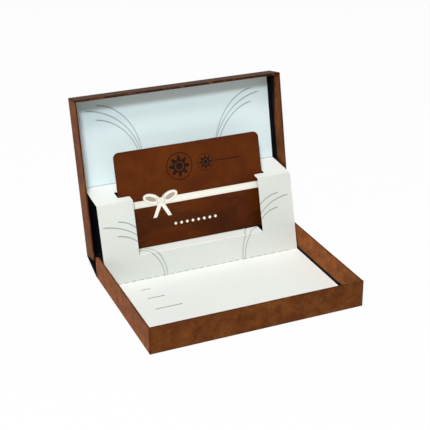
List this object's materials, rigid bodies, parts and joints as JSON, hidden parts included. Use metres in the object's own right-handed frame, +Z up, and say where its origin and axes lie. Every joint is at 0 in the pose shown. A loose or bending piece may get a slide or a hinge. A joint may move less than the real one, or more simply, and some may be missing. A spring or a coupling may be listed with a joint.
{
  "type": "gift card holder",
  "caption": "Folding leather-look card case whose white insert pops up as the lid opens and holds a plastic gift card upright through a slit in its shelf.",
  "frame": {"origin": "middle of the tray's underside", "axes": "+X across the case, to the right seen from the front; +Y from the tray's front wall to the spine; +Z up from the surface it stands on"},
  "size_m": [0.1196, 0.1163, 0.0968],
  "materials": {
    "leather_look_board": "brown leather-look paper on board, satin",
    "dark_board": "black inner face, brown outer face, matt",
    "white_card_stock": "smooth white card stock, matt",
    "dry_glue": "dried glue, dull",
    "printed_card": "printed and laminated plastic, glossy"
  },
  "bodies": {
    "tray": {"base_floor": "dark_board", "base_front_wall": "leather_look_board", "base_front_lining": "leather_look_board", "base_left_wall": "leather_look_board", "base_left_lining": "leather_look_board", "base_right_wall": "leather_look_board", "base_right_lining": "leather_look_board", "base_left_corner_tab": "leather_look_board", "base_right_corner_tab": "leather_look_board", "floor_glue_strips": "dry_glue", "insert_floor_panel": "white_card_stock"},
    "spine": {"spine_panel": "dark_board"},
    "lid": {"lid_panel": "dark_board", "lid_front_wall": "leather_look_board", "lid_front_lining": "leather_look_board", "lid_left_wall": "leather_look_board", "lid_left_lining": "leather_look_board", "lid_right_wall": "leather_look_board", "lid_right_lining": "leather_look_board", "lid_left_corner_tab": "leather_look_board", "lid_right_corner_tab": "leather_look_board", "lid_glue_strips": "dry_glue", "insert_lid_panel": "white_card_stock"},
    "pop_up_face": {"insert_front_panel": "white_card_stock"},
    "pop_up_shelf": {"insert_shelf": "white_card_stock"},
    "card_rest": {"card_ledge": "white_card_stock", "card_back_flap": "white_card_stock"},
    "card": {"gift_card": "printed_card"}
  },
  "joints": [
    {"name": "spine_fold", "type": "hinge", "parent": "tray", "child": "spine", "pos_m": [0, 0.043, 0.00045], "axis": [-1, 0, 0], "range_deg": [-58.8, 0]},
    {"name": "lid_fold", "type": "hinge", "parent": "spine", "child": "lid", "pos_m": [0, 0.05574, 0.00817], "axis": [-1, 0, 0], "range_deg": [-42.51, 0]},
    {"name": "face_fold", "type": "hinge", "parent": "tray", "child": "pop_up_face", "pos_m": [0, 0.02875, 0.00085], "axis": [-1, 0, 0], "range_deg": [-98.71, 0]},
    {"name": "shelf_fold", "type": "hinge", "parent": "pop_up_face", "child": "pop_up_shelf", "pos_m": [0, 0.04018, 0.04355], "axis": [1, 0, 0], "range_deg": [-79.37, 0]},
    {"name": "ledge_fold", "type": "hinge", "parent": "pop_up_face", "child": "card_rest", "pos_m": [0, 0.03248, 0.01398], "axis": [-1, 0, 0], "range_deg": [-4.51, 0]},
    {"name": "card_lift", "type": "slide", "parent": "card_rest", "child": "card", "axis": [0, 0.2011, 0.9796], "range_m": [0, 0.085]}
  ],
  "couplings": [
    {"joint": "lid_fold", "follows": "spine_fold", "ratio": 0.72279},
    {"joint": "face_fold", "follows": "spine_fold", "ratio": 1.6786},
    {"joint": "shelf_fold", "follows": "spine_fold", "ratio": 1.3497},
    {"joint": "ledge_fold", "follows": "spine_fold", "ratio": 0.076531}
  ]
}
